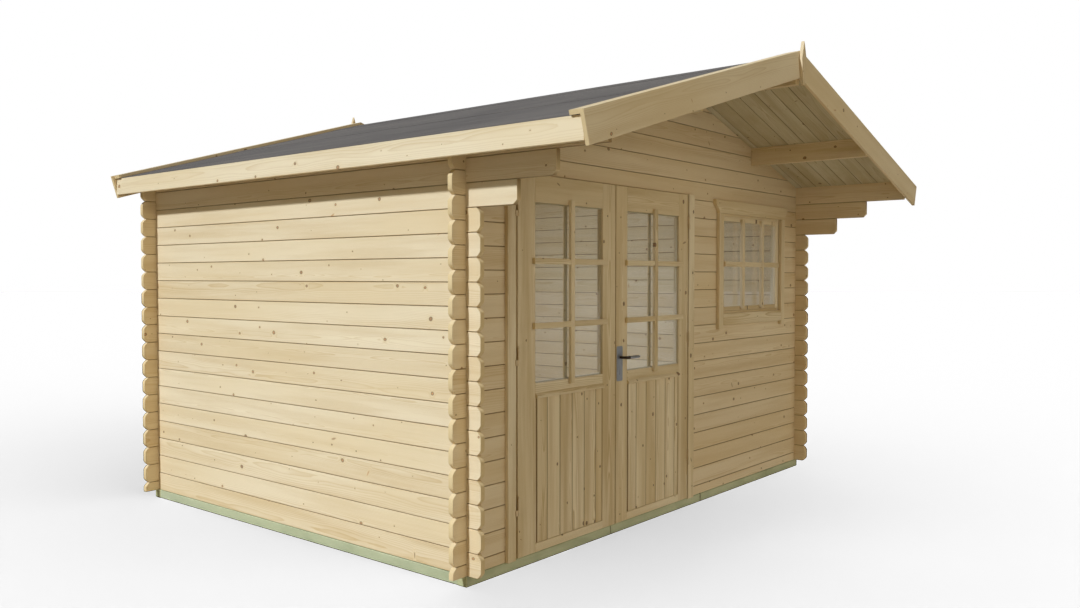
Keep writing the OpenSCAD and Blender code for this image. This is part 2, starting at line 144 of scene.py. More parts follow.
def table(v, t, far):
    """Levels of a face with a V joint: depth, inset at a joint, inset at a
    plain edge, how far down in the joint, which sets the painted shade there."""
    if v is None or v <= 0:
        rows = [(0.0, 0.0006, 0.0006, 0.0), (0.0006, 0.0, 0.0, 0.0)]
    else:
        slot = max(0.0007, 0.24 * v)
        e = 0.0012 if v > 0.0035 else 0.0008
        rows = [(0.0, v, e, 0.0), (e, v - e, 0.0, 0.30), (v - slot, slot, 0.0, 0.85), (2.2 * v, slot, 0.0, 1.0), (2.2 * v + 0.0004, 0.0, 0.0, 1.0)]
    if far:
        rows = [(t - c, a, b, d) for c, a, b, d in rows[::-1]]
    return rows


class Piece:
    """Collects many boards into one mesh, and keeps for each board its grain
    axes and its own random values for the material."""

    def __init__(self, name):
        self.name, self.v, self.f, self.g, self.r, self.axis, self.deep = name, [], [], [], [], [], []

    def solid(self, pts, faces, grain, centre, tone=0.0, flip=False, tint=None, deep=None):
        """grain is (along, across, through) as house vectors; deep is 0 on the open
        faces and 1 down in a joint, and sets the painted shade of the wood there."""
        self.deep += list(deep) if deep is not None else [0.0] * len(pts)
        base = len(self.v)
        g = np.array([unit(a) for a in grain])
        pts = np.asarray(pts, float)
        rnd = (rng.random(), rng.random(), min(1.0, max(0.0, rng.random() + tone)))
        if tint is not None:
            rnd = (rnd[0], rnd[1], tint)
        # each board reads its own stretch of the wood
        away = np.array([rng.uniform(-9, 9), rng.uniform(-3, 3), 0.0])
        self.v += list(pts + SHIFT)
        self.g += list((pts - np.asarray(centre)) @ g.T)
        self.r += [(rnd, away)] * len(pts)
        for f in faces:
            f = [base + i for i in f]
            self.f.append(f[::-1] if flip else f)
            self.axis.append(g[0])

    def prism(self, ax, poly, c0, c1, d0=0.001, d1=0.001, k0=None, k1=None, grain="a", post=None, tone=0.0, tint=None):
        """An outline in a, b, between c0 and c1, its edges eased by d0 and d1."""
        if area(poly) < 0:
            poly = list(poly)[::-1]
            if isinstance(d0, list):
                d0 = d0[::-1][1:] + d0[::-1][:1]
            if isinstance(d1, list):
                d1 = d1[::-1][1:] + d1[::-1][:1]
        n = len(poly)
        e0 = d0 if isinstance(d0, list) else [d0] * n
        e1 = d1 if isinstance(d1, list) else [d1] * n
        k0 = max(e0) if k0 is None else k0
        k1 = max(e1) if k1 is None else k1
        levels = [(inset(poly, e0), c0), (poly, c0 + k0), (poly, c1 - k1), (inset(poly, e1), c1)]
        pts = [ax.at((p[0], p[1], c)) for loop, c in levels for p in loop]
        faces = [list(range(n))[::-1], list(range(3 * n, 4 * n))]
        for lv in range(3):
            for i in range(n):
                j = (i + 1) % n
                faces.append([lv * n + i, lv * n + j, (lv + 1) * n + j, (lv + 1) * n + i])
        if post is not None:
            pts = [post(p) for p in pts]
        o = {"a": (0, 1, 2), "b": (1, 0, 2), "c": (2, 0, 1)}[grain]
        p = np.asarray(poly)
        mid = ax.at(((p[:, 0].min() + p[:, 0].max()) / 2, (p[:, 1].min() + p[:, 1].max()) / 2, (c0 + c1) / 2))
        self.solid(pts, faces, [ax.m[k] for k in o], mid, tone, ax.flip, tint)

    def layers(self, ax, loops, cs, deep, grain="a", post=None, tone=0.0, tint=None):
        """Joins outlines of the same number of points, one at each depth c."""
        n = len(loops[0])
        pts = [ax.at((p[0], p[1], c)) for loop, c in zip(loops, cs) for p in loop]
        faces = [list(range(n))[::-1], [(len(cs) - 1) * n + i for i in range(n)]]
        for lv in range(len(cs) - 1):
            for i in range(n):
                j = (i + 1) % n
                faces.append([lv * n + i, lv * n + j, (lv + 1) * n + j, (lv + 1) * n + i])
        if post is not None:
            pts = [post(p) for p in pts]
        o = {"a": (0, 1, 2), "b": (1, 0, 2), "c": (2, 0, 1)}[grain]
        p = np.asarray(loops[len(loops) // 2])
        mid = ax.at(((p[:, 0].min() + p[:, 0].max()) / 2, (p[:, 1].min() + p[:, 1].max()) / 2, (cs[0] + cs[-1]) / 2))
        self.solid(pts, faces, [ax.m[k] for k in o], mid, tone, ax.flip, tint, deep)

    def board(self, ax, poly, c0, c1, joints, front=None, back=None, grain="a", tone=0.0, post=None):
        """A convex board whose joints edges have a V and a slot; front and
        back say how deep the V is on either face, 0 for none."""
        assert area(poly) > 0
        t = c1 - c0
        lv = table(front, t, 0) + table(back, t, 1)
        loops, cs, deep = [], [], []
        n = len(poly)
        for c, v, e, dp in lv:
            loops.append(inset(poly, [v if j else e for j in joints]))
            cs.append(c0 + c)
            deep += [dp if (joints[i] or joints[i - 1]) else 0.0 for i in range(n)]
        self.layers(ax, loops, cs, deep, grain, post, tone)

    def stick(self, ax, poly, c0, c1, ease=0.0015, end=0.001, tone=0.0, wide=0, tint=None):
        """A cross-section in a, b with eased corners, along c."""
        if area(poly) < 0:
            poly = list(poly)[::-1]
        n, p2 = len(poly), []
        for i in range(n):
            p0, p1, q = (np.asarray(poly[j % n], float) for j in (i - 1, i, i + 1))
            e = min(ease, np.linalg.norm(p1 - p0) * 0.4, np.linalg.norm(q - p1) * 0.4)
            p2 += [tuple(p1 + unit(p0 - p1) * e), tuple(p1 + unit(q - p1) * e)]
        n = len(p2)
        levels = [(inset(p2, [end * 0.8] * n), c0), (p2, c0 + end), (p2, c1 - end), (inset(p2, [end * 0.8] * n), c1)]
        pts = [ax.at((q[0], q[1], c)) for loop, c in levels for q in loop]
        faces = [list(range(n))[::-1], list(range(3 * n, 4 * n))]
        for lv in range(3):
            for i in range(n):
                j = (i + 1) % n
                faces.append([lv * n + i, lv * n + j, (lv + 1) * n + j, (lv + 1) * n + i])
        p = np.asarray(poly)
        mid = ax.at(((p[:, 0].min() + p[:, 0].max()) / 2, (p[:, 1].min() + p[:, 1].max()) / 2, (c0 + c1) / 2))
        o = (2, 0, 1) if wide == 0 else (2, 1, 0)
        self.solid(pts, faces, [ax.m[k] for k in o], mid, tone, ax.flip, tint)

    def box(self, a, b, along, ease=0.0015, tone=0.0, tint=None):
        """A board between two corners with its grain along x, y or z."""
        a, b = np.minimum(a, b).astype(float), np.maximum(a, b).astype(float)
        size = b - a
        if along == "x":
            ax, n = Axes((0, 0, 0), Y, Z, X), (1, 2, 0)
        elif along == "y":
            ax, n = Axes((0, 0, 0), Z, X, Y), (2, 0, 1)
        else:
            ax, n = Axes((0, 0, 0), X, Y, Z), (0, 1, 2)
        wide = 0 if size[n[0]] >= size[n[1]] else 1
        rect = [(a[n[0]], a[n[1]]), (b[n[0]], a[n[1]]), (b[n[0]], b[n[1]]), (a[n[0]], b[n[1]])]
        self.stick(ax, rect, a[n[2]], b[n[2]], ease, tone=tone, wide=wide, tint=tint)

    def tube(self, path, radii, sides=20, squash=(1.0, 1.0), up=Z, tint=None):
        """A round bar along a path, closed at both ends."""
        path = [np.asarray(p, float) for p in path]
        pts, faces = [], []
        for i, p in enumerate(path):
            d = unit(path[min(i + 1, len(path) - 1)] - path[max(i - 1, 0)])
            s = np.cross(d, up)
            s = unit(s) if np.linalg.norm(s) > 1e-4 else unit(np.cross(d, X))
            u = np.cross(s, d)
            for k in range(sides):
                t = 2 * math.pi * k / sides
                pts.append(p + radii[i] * (squash[0] * math.cos(t) * s + squash[1] * math.sin(t) * u))
        for i in range(len(path) - 1):
            for k in range(sides):
                j = (k + 1) % sides
                faces.append([i * sides + k, i * sides + j, (i + 1) * sides + j, (i + 1) * sides + k])
        faces.append(list(range(sides))[::-1])
        faces.append([(len(path) - 1) * sides + k for k in range(sides)])
        self.solid(pts, [f[::-1] for f in faces], [path[-1] - path[0] + 1e-6, s, u], path[0], tint=tint)

    def make(self, material, body="house", nodes=(), smooth=28):
        me = bpy.data.meshes.new(self.name)
        me.from_pydata([tuple(p) for p in self.v], [], self.f)
        me.update()
        n = len(self.v)
        g = np.array(self.g, np.float32)
        away = np.array([a for _, a in self.r], np.float32)
        rnd = np.array([r for r, _ in self.r], np.float32)
        for key, val in (("grain", g), ("away", g + away), ("rnd", rnd)):
            at = me.attributes.new(key, "FLOAT_VECTOR", "POINT")
            at.data.foreach_set("vector", val.astype(np.float32).ravel())
        nor = np.zeros(len(me.polygons) * 3, np.float32)
        me.polygons.foreach_get("normal", nor)
        along = np.abs(np.sum(nor.reshape(-1, 3) * np.array(self.axis), 1))
        end = np.clip((along - 0.45) / 0.4, 0, 1).astype(np.float32)
        at = me.attributes.new("deep", "FLOAT", "POINT")
        at.data.foreach_set("value", np.array(self.deep, np.float32))
        at = me.attributes.new("endgrain", "FLOAT", "FACE")
        at.data.foreach_set("value", end)
        if smooth:
            me.shade_smooth()
            me.set_sharp_from_angle(angle=math.radians(smooth))
        me.materials.append(material)
        o = bpy.data.objects.new(self.name, me)
        bpy.context.scene.collection.objects.link(o)
        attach(o, body)
        if nodes:
            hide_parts(*nodes)
        return o


# ------------------------------------------------------------------ materials
class Nodes:
    def __init__(self, name):
        self.m = bpy.data.materials.new(name)
        self.m.use_nodes = True
        self.t = self.m.node_tree
        self.t.nodes.clear()
        self.out = self.t.nodes.new("ShaderNodeOutputMaterial")

    def new(self, kind, **sets):
        n = self.t.nodes.new(kind)
        for k, v in sets.items():
            setattr(n, k, v)
        return n

    def put(self, socket, value):
        if isinstance(value, bpy.types.NodeSocket):
            self.t.links.new(value, socket)
        elif value is not None:
            socket.default_value = value

    def attr(self, name, out="Vector"):
        n = self.new("ShaderNodeAttribute", attribute_name=name)
        return n.outputs[out]

    def math(self, op, a, b=None, c=None, clamp=False):
        n = self.new("ShaderNodeMath", operation=op, use_clamp=clamp)
        for i, v in enumerate((a, b, c)):
            if v is not None:
                self.put(n.inputs[i], v)
        return n.outputs[0]

    def vec(self, op, a, b=None, out=0):
        n = self.new("ShaderNodeVectorMath", operation=op)
        self.put(n.inputs[0], a)
        if b is not None:
            self.put(n.inputs["Scale"] if op == "SCALE" else n.inputs[1], b)
        return n.outputs[out]

    def xyz(self, v):
        n = self.new("ShaderNodeSeparateXYZ")
        self.put(n.inputs[0], v)
        return n.outputs[0], n.outputs[1], n.outputs[2]

    def join(self, x, y, z):
        n = self.new("ShaderNodeCombineXYZ")
        for i, v in enumerate((x, y, z)):
            self.put(n.inputs[i], v)
        return n.outputs[0]

    def noise(self, v, scale=1.0, detail=2.0, rough=0.5, lac=2.0, dist=0.0, out=0):
        n = self.new("ShaderNodeTexNoise")
        self.put(n.inputs["Vector"], v)
        n.inputs["Scale"].default_value = scale
        n.inputs["Detail"].default_value = detail
        n.inputs["Roughness"].default_value = rough
        n.inputs["Lacunarity"].default_value = lac
        n.inputs["Distortion"].default_value = dist
        return n.outputs[out]

    def range(self, v, a, b, c=0.0, d=1.0, smooth=True):
        n = self.new("ShaderNodeMapRange", interpolation_type="SMOOTHSTEP" if smooth else "LINEAR")
        n.clamp = True
        for k, x in zip(range(5), (v, a, b, c, d)):
            self.put(n.inputs[k], x)
        return n.outputs[0]

    def mix(self, fac, a, b, blend="MIX"):
        n = self.new("ShaderNodeMix", data_type="RGBA", blend_type=blend)
        n.clamp_factor = True
        self.put(n.inputs[0], fac)
        self.put(n.inputs[6], a)
        self.put(n.inputs[7], b)
        return n.outputs[2]

    def ramp(self, fac, stops):
        n = self.new("ShaderNodeValToRGB")
        self.put(n.inputs[0], fac)
        els = n.color_ramp.elements
        while len(els) > len(stops):
            els.remove(els[-1])
        while len(els) < len(stops):
            els.new(0.5)
        for e, (p, c) in zip(els, stops):
            e.position, e.color = p, c
        return n.outputs[0]

    def scale(self, v, x, y, z):
        return self.vec("MULTIPLY", v, (x, y, z))


def rgb(r, g, b):
    return (r, g, b, 1.0)


def make_wood(name, pale, deep, warm, knot, ring=0.0042, contrast=1.0, knots=1.0, rough=0.62, stain=0.0):
    """Planed conifer wood. Growth rings are circles round a pith beside the
    board, so they run as lines and arches on the faces and as arcs on the
    ends; knots, fibres and slow changes of colour lie over them."""
    k = Nodes(name)
    g, away, rnd = k.attr("grain"), k.attr("away"), k.attr("rnd")
    endg = k.attr("endgrain", "Fac")
    r1, r2, r3 = k.xyz(rnd)
    ax, ay, az = k.xyz(away)
    gx, gy, gz = k.xyz(g)
    # slow bends of the grain
    bend = k.noise(k.scale(away, 1.3, 5.0, 5.0), 1.0, 2.0, 0.5, out=1)
    bx, by, bz = k.xyz(bend)
    # knots, round on the wide face
    wob = k.noise(k.scale(away, 40.0, 40.0, 40.0), 1.0, 1.0, 0.5, out=1)
    kv = k.vec("ADD", k.join(ax, ay, k.math("MULTIPLY", r1, 9.0)), k.vec("SCALE", k.vec("SUBTRACT", wob, (0.5, 0.5, 0.5)), 0.006))
    vor = k.new("ShaderNodeTexVoronoi", voronoi_dimensions="2D", feature="F1")
    k.put(vor.inputs["Vector"], k.scale(kv, 1.0, 1.25, 1.0))
    vor.inputs["Scale"].default_value = 5.4
    vor.inputs["Randomness"].default_value = 1.0
    dist = k.math("DIVIDE", vor.outputs["Distance"], 5.4)
    kc = k.new("ShaderNodeSeparateColor")
    k.put(kc.inputs[0], vor.outputs["Color"])
    size = k.math("MULTIPLY_ADD", k.math("POWER", kc.outputs[0], 2.6), 0.0085, 0.0024)
    shown = k.math("GREATER_THAN", kc.outputs[1], 1.0 - 0.62 * knots)
    u = k.math("DIVIDE", dist, size)
    core = k.math("MULTIPLY", k.range(u, 1.15, 0.7), shown)
    rim = k.math("MULTIPLY", k.math("MULTIPLY", k.range(u, 0.55, 1.0), k.range(u, 1.5, 1.05)), shown)
    halo = k.math("MULTIPLY", k.range(u, 4.6, 0.9), shown)
    # a few spike knots, long and slanting
    sv = k.new("ShaderNodeVectorRotate", rotation_type="Z_AXIS")
    k.put(sv.inputs["Vector"], kv)
    k.put(sv.inputs["Angle"], k.math("MULTIPLY_ADD", r2, 2.0, 0.15))
    vs = k.new("ShaderNodeTexVoronoi", voronoi_dimensions="2D", feature="F1")
    k.put(vs.inputs["Vector"], k.scale(sv.outputs[0], 0.42, 1.5, 1.0))
    vs.inputs["Scale"].default_value = 4.3
    vs.inputs["Randomness"].default_value = 1.0
    sc = k.new("ShaderNodeSeparateColor")
    k.put(sc.inputs[0], vs.outputs["Color"])
    su = k.math("DIVIDE", k.math("DIVIDE", vs.outputs["Distance"], 4.3), k.math("MULTIPLY_ADD", sc.outputs[0], 0.006, 0.0035))
    sshown = k.math("GREATER_THAN", sc.outputs[1], 1.0 - 0.17 * knots)
    score = k.math("MULTIPLY", k.range(su, 1.2, 0.5), sshown)
    core = k.math("MAXIMUM", core, k.math("MULTIPLY", score, 0.85))
    halo = k.math("MAXIMUM", halo, k.math("MULTIPLY", k.math("MULTIPLY", k.range(su, 3.2, 0.8), sshown), 0.8))
    # growth rings
    py = k.math("ADD", k.math("MULTIPLY_ADD", r1, 0.17, -0.085), k.math("MULTIPLY_ADD", by, 0.05, -0.025))
    pz = k.math("ADD", k.math("MULTIPLY_ADD", r2, 0.075, 0.022), k.math("MULTIPLY_ADD", bz, 0.03, -0.015))
    yy, zz = k.math("ADD", gy, py), k.math("ADD", gz, pz)
    rad = k.math("SQRT", k.math("ADD", k.math("MULTIPLY", yy, yy), k.math("MULTIPLY", zz, zz)))
    rad = k.math("MULTIPLY_ADD", halo, 0.0045, rad)
    fine = k.noise(k.scale(away, 9.0, 120.0, 120.0), 1.0, 2.0, 0.6)
    rad = k.math("MULTIPLY_ADD", fine, 0.0012, rad)
    width = k.math("MULTIPLY_ADD", r2, ring * 0.9, ring * 0.6)
    ph = k.math("FRACT", k.math("DIVIDE", rad, width))
    late = k.math("MULTIPLY", k.math("POWER", ph, 3.2), k.range(ph, 1.0, 0.93))
    # fibres and slow bands
    fib = k.noise(k.scale(away, 14.0, 420.0, 420.0), 1.0, 2.0, 0.6)
    band = k.noise(k.scale(away, 0.9, 15.0, 15.0), 1.0, 3.0, 0.55)
    broad = k.noise(k.scale(away, 0.5, 1.2, 1.2), 1.0, 2.0, 0.5)
    t = k.math("MULTIPLY_ADD", late, 0.62 * contrast, k.math("MULTIPLY_ADD", fib, 0.30 * contrast, -0.15 * contrast))
    t = k.math("ADD", t, k.range(band, 0.36, 0.70, 0.0, 0.42 * contrast))
    t = k.math("ADD", t, k.math("MULTIPLY_ADD", r3, 0.34, -0.06), clamp=True)
    base = k.mix(t, pale, deep)
    base = k.mix(k.range(broad, 0.40, 0.70, 0.0, 0.55), base, warm)
    base = k.mix(k.math("MULTIPLY", halo, 0.40), base, warm)
    if stain:
        blot = k.noise(k.scale(away, 3.0, 8.0, 8.0), 1.0, 3.0, 0.6)
        base = k.mix(k.range(blot, 0.42, 0.68, 0.0, stain), base, deep)
    kcol = k.mix(kc.outputs[2], knot, rgb(knot[0] * 1.9, knot[1] * 1.75, knot[2] * 1.5))
    face_only = k.math("SUBTRACT", 1.0, endg, clamp=True)
    base = k.mix(k.math("MULTIPLY", k.math("MULTIPLY", core, 0.86), face_only), base, kcol)
    base = k.mix(k.math("MULTIPLY", k.math("MULTIPLY", rim, 0.75), face_only), base, rgb(knot[0] * 0.55, knot[1] * 0.5, knot[2] * 0.5))
    # end grain drinks light: a little deeper, with the rings as arcs and fine checks
    pore = k.noise(k.scale(g, 500.0, 500.0, 500.0), 1.0, 2.0, 0.6)
    saw = k.math("MULTIPLY_ADD", pore, 0.16, 0.86)
    ends = k.mix(k.math("MULTIPLY", late, 0.75), k.mix(0.55, pale, warm), deep)
    ends = k.mix(1.0, ends, k.join(saw, k.math("MULTIPLY", saw, 0.96), k.math("MULTIPLY", saw, 0.84)), "MULTIPLY")
    base = k.mix(endg, base, ends)
    # painted shade: down each V joint and slot the wood colour is multiplied darker, most at the bottom, where shade
    # falls
    down = k.attr("deep", "Fac")
    base = k.mix(k.math("MULTIPLY", down, 0.85), base, k.mix(1.0, base, rgb(0.36, 0.27, 0.17), "MULTIPLY"))
    bsdf = k.new("ShaderNodeBsdfPrincipled")
    k.put(bsdf.inputs["Base Color"], base)
    rr = k.math("MULTIPLY_ADD", fib, 0.16, rough - 0.08)
    rr = k.math("MULTIPLY_ADD", late, -0.08, rr)
    rr = k.math("MULTIPLY_ADD", core, -0.12, rr)
    rr = k.math("MULTIPLY_ADD", endg, 0.15, rr, clamp=True)
    k.put(bsdf.inputs["Roughness"], rr)
    bsdf.inputs["Specular IOR Level"].default_value = 0.32
    bsdf.inputs["IOR"].default_value = 1.45
    hgt = k.math("MULTIPLY_ADD", late, 0.35, k.math("MULTIPLY", fib, 0.7))
    hgt = k.math("MULTIPLY_ADD", core, 0.6, hgt)
    hgt = k.math("MULTIPLY_ADD", k.math("MULTIPLY", pore, endg), 1.2, hgt)
    bump = k.new("ShaderNodeBump")
    bump.inputs["Strength"].default_value = 0.22
    bump.inputs["Distance"].default_value = 0.0012
    k.put(bump.inputs["Height"], hgt)
    k.put(bsdf.inputs["Normal"], bump.outputs[0])
    k.t.links.new(bsdf.outputs[0], k.out.inputs[0])
    return k.m


SPRUCE = make_wood("spruce_planed", rgb(0.860, 0.695, 0.420), rgb(0.640, 0.440, 0.192), rgb(0.790, 0.590, 0.298), rgb(0.310, 0.165, 0.068), contrast=0.88)
JOINERY = make_wood("spruce_joinery", rgb(0.880, 0.730, 0.450), rgb(0.560, 0.385, 0.160), rgb(0.740, 0.550, 0.265), rgb(0.190, 0.095, 0.038), contrast=1.25, knots=1.2)
# painted shade: the roof boards get a darker, warmer copy of the spruce, standing for the shade under the roof; their
# stain blotches are their own
SPRUCE_ROOF_SHADED = make_wood("spruce_roof_boards_shaded", rgb(0.650, 0.565, 0.350), rgb(0.430, 0.325, 0.155), rgb(0.560, 0.460, 0.240), rgb(0.150, 0.080, 0.035), contrast=1.3, stain=0.4)
TREATED = make_wood("treated_green", rgb(0.560, 0.560, 0.325), rgb(0.330, 0.345, 0.175), rgb(0.470, 0.475, 0.245), rgb(0.120, 0.100, 0.045), rough=0.75, contrast=0.8, knots=0.5, stain=0.5)


def make_felt():
    k = Nodes("mineral_felt")
    co = k.new("ShaderNodeTexCoord").outputs["Object"]
    grit = k.noise(co, 900.0, 2.0, 0.7)
    patch = k.noise(k.scale(co, 1.2, 1.2, 1.2), 1.0, 3.0, 0.6)
    run = k.noise(k.scale(co, 14.0, 0.8, 14.0), 1.0, 3.0, 0.6)
    dry = k.noise(k.scale(co, 60.0, 60.0, 60.0), 1.0, 2.0, 0.5)
    c = k.mix(k.range(grit, 0.35, 0.65), rgb(0.090, 0.077, 0.062), rgb(0.191, 0.163, 0.130))
    c = k.mix(k.range(run, 0.42, 0.66, 0.0, 0.45), c, rgb(0.207, 0.174, 0.136))
    c = k.mix(k.range(patch, 0.45, 0.7, 0.0, 0.35), c, rgb(0.077, 0.065, 0.055))
    bsdf = k.new("ShaderNodeBsdfPrincipled")
    k.put(bsdf.inputs["Base Color"], c)
    k.put(bsdf.inputs["Roughness"], k.math("MULTIPLY_ADD", dry, 0.2, 0.78, clamp=True))
    bsdf.inputs["Specular IOR Level"].default_value = 0.35
    bump = k.new("ShaderNodeBump")
    bump.inputs["Strength"].default_value = 0.55
    bump.inputs["Distance"].default_value = 0.0015
    k.put(bump.inputs["Height"], k.math("MULTIPLY_ADD", patch, 0.8, grit))
    k.put(bsdf.inputs["Normal"], bump.outputs[0])
    k.t.links.new(bsdf.outputs[0], k.out.inputs[0])
    return k.m


def make_metal(name, col, rough, along):
    k = Nodes(name)
    g = k.attr("grain")
    co = k.new("ShaderNodeTexCoord").outputs["Object"]
    line = k.noise(k.scale(co, *along), 1.0, 2.0, 0.6)
    spot = k.noise(k.scale(co, 25.0, 25.0, 25.0), 1.0, 3.0, 0.6)
    c = k.mix(k.range(spot, 0.4, 0.75, 0.0, 0.5), rgb(*col), rgb(col[0] * 0.72, col[1] * 0.71, col[2] * 0.69))
    bsdf = k.new("ShaderNodeBsdfPrincipled")
    k.put(bsdf.inputs["Base Color"], c)
    bsdf.inputs["Metallic"].default_value = 1.0
    k.put(bsdf.inputs["Roughness"], k.math("ADD", k.math("MULTIPLY_ADD", line, 0.22, rough - 0.11), k.math("MULTIPLY_ADD", spot, 0.12, -0.06), clamp=True))
    bump = k.new("ShaderNodeBump")
    bump.inputs["Strength"].default_value = 0.12
    bump.inputs["Distance"].default_value = 0.0004
    k.put(bump.inputs["Height"], line)
    k.put(bsdf.inputs["Normal"], bump.outputs[0])
    k.t.links.new(bsdf.outputs[0], k.out.inputs[0])
    return k.m


def make_glass():
    """Thin clear pane: lets light through and mirrors a little at a slant."""
    k = Nodes("clear_pane")
    co = k.new("ShaderNodeTexCoord").outputs["Object"]
    film = k.noise(k.scale(co, 3.0, 3.0, 3.0), 1.0, 3.0, 0.6)
    wave = k.noise(k.scale(co, 2.2, 2.2, 1.4), 1.0, 1.0, 0.5)
    see = k.new("ShaderNodeBsdfTransparent")
    see.inputs[0].default_value = (0.90, 0.915, 0.925, 1.0)
    shine = k.new("ShaderNodeBsdfGlossy")
    shine.inputs["Color"].default_value = (0.95, 0.97, 1.0, 1.0)
    k.put(shine.inputs["Roughness"], k.math("MULTIPLY_ADD", film, 0.03, 0.005))
    bump = k.new("ShaderNodeBump")
    bump.inputs["Strength"].default_value = 0.05
    bump.inputs["Distance"].default_value = 0.002
    k.put(bump.inputs["Height"], wave)
    k.put(shine.inputs["Normal"], bump.outputs[0])
    # two panes of clear glass: a little straight on, nearly all at a graze
    slant = k.new("ShaderNodeLayerWeight")
    slant.inputs["Blend"].default_value = 0.5
    fac = k.math("MULTIPLY_ADD", k.math("POWER", slant.outputs["Facing"], 5.0), 0.80, 0.07)
    fac = k.math("MULTIPLY_ADD", film, 0.02, fac, clamp=True)
    mix = k.new("ShaderNodeMixShader")
    k.put(mix.inputs[0], fac)
    k.t.links.new(see.outputs[0], mix.inputs[1])
    k.t.links.new(shine.outputs[0], mix.inputs[2])
    k.t.links.new(mix.outputs[0], k.out.inputs[0])
    return k.m


FELT = make_felt()
STEEL = make_metal("satin_steel", (0.40, 0.41, 0.43), 0.36, (700.0, 700.0, 30.0))
ZINC = make_metal("yellow_zinc", (0.76, 0.60, 0.35), 0.55, (200.0, 200.0, 200.0))
# dark metal for the lever neck: partly its own colour, partly painted shade and painted reflection for the dark look
# the neck takes on
NECK_DARK_AND_SHADE = make_metal("dark_neck_metal_and_shade", (0.060, 0.045, 0.034), 0.42, (300.0, 300.0, 300.0))
GLASS = make_glass()


# ------------------------------------------------------------------ logs
def mill(u):
    return CUT * (1 - u / RISE) ** 1.5


STEPS = (0.0, 0.08, 0.22, 0.42, 0.68, 1.0)


def log_loop(a0, a1, z0, z1, cut0, cut1, jb, jt, notch, v, e, nose=0.0):
    """Outline of a log at a level where its joints stand in by v and its
    other edges by e. cut0 and cut1 mill the ends at the joints; jb and jt say
    whether it has a joint below and above; nose takes the lower corner off
    the a0 end. Also says which points lie on a joint."""
    vb, vt = (v if jb else e), (v if jt else e)
    pts = []

    def add(x, z, j=False):
        pts.append((x, z, j))

    def side(a, sgn, z, up, vv, cut, joint):
        """Points of one corner, from the joint to the end face."""
        if cut and joint:
            out = []
            for k in STEPS:
                u = vv + (RISE - vv) * k
                out.append((a - sgn * (mill(u) + e), z + up * u, k == 0.0))
            return out
        return [(a - sgn * e, z + up * vv, joint)]

    if nose:
        pts += [(a0 + e, z0 + nose, False), (a0 + nose + e, z0 + vb, jb)]
    else:
        pts += side(a0, -1, z0, 1, vb, cut0, jb)[::-1]
    if notch and notch[3] < z1:          # open at the bottom
        n0, n1, lo, hi = notch
        pts += [(n0 - e, z0 + vb, jb), (n0 - e, hi + e, False), (n1 + e, hi + e, False), (n1 + e, z0 + vb, jb)]
    pts += side(a1, 1, z0, 1, vb, cut1, jb)
    pts += side(a1, 1, z1, -1, vt, cut1, jt)[::-1]
    if notch and notch[3] >= z1:         # open at the top
        n0, n1, lo, hi = notch
        pts += [(n1 + e, z1 - vt, jt), (n1 + e, lo - e, False), (n0 - e, lo - e, False), (n0 - e, z1 - vt, jt)]
    pts += side(a0, -1, z1, -1, vt, cut0, jt)
    return pts


def add_log(piece, ax, a0, a1, z0, z1, cut0=False, cut1=False, jb=True, jt=True, notch=None, tone=0.0, tint=None, nose=0.0, post=None):
    wob = rng.uniform(-0.00025, 0.00025)
    loops, cs, deep = [], [], []
    for c, v, e, dp in table(VEE, T, 0) + table(VEE, T, 1):
        loop = log_loop(a0, a1, z0, z1, cut0, cut1, jb, jt, notch, v, e, nose)
        loops.append([(p[0], p[1]) for p in loop])
        cs.append(c + wob)
        deep += [dp if p[2] else 0.0 for p in loop]
    piece.layers(ax, loops, cs, deep, tone=tone, tint=tint, post=post)


def side_wall(name, ax, nodes):
    p = Piece(name)
    for k in range(15):
        add_log(p, ax, -END, D + END, k * H, (k + 1) * H, True, True)
    return p.make(SPRUCE, nodes=nodes)


side_wall("left_wall_logs", LEFT, ["left_wall"])
side_wall("right_wall_logs", RIGHT, ["right_wall"])

ROWS = [(0.0, 0.5 * H)] + [((k + 0.5) * H, (k + 1.5) * H) for k in range(16)]

p = Piece("back_wall_logs")
for z0, z1 in ROWS + [(16.5 * H, 17.5 * H)]:
    add_log(p, BACKW, -END, W + END, z0, z1, True, True, jb=z0 > 0)
p.make(SPRUCE, nodes=["back_wall"])

DX0, DX1, DZ1 = 0.300, 2.010, 1.9082
WX0, WX1, WZ0, WZ1 = 2.412, 3.296, 1.140, 1.822
p = Piece("front_wall_logs")
for z0, z1 in ROWS:
    jb = z0 > 0
    add_log(p, FRONT, -END, DX0, z0, z1, True, False, jb=jb)
    if z1 <= WZ0 or z0 >= WZ1:
        add_log(p, FRONT, DX1, W + END, z0, z1, False, True, jb=jb)
    elif z0 < WZ0:
        add_log(p, FRONT, DX1, W + END, z0, z1, False, True, notch=(WX0, WX1, WZ0, z1))
    elif z1 > WZ1:
        add_log(p, FRONT, DX1, W + END, z0, z1, False, True, notch=(WX0, WX1, z0, WZ1))
    else:
        add_log(p, FRONT, DX1, WX0, z0, z1)
        add_log(p, FRONT, WX1, W + END, z0, z1, False, True)
add_log(p, FRONT, -END, W + END, 16.5 * H, 17.5 * H, True, True, notch=(DX0, DX1, 16.5 * H, DZ1))
p.make(SPRUCE, nodes=["front_wall_left", "front_wall_middle", "front_wall_right", "front_wall_at_window", "front_lintel_log"])


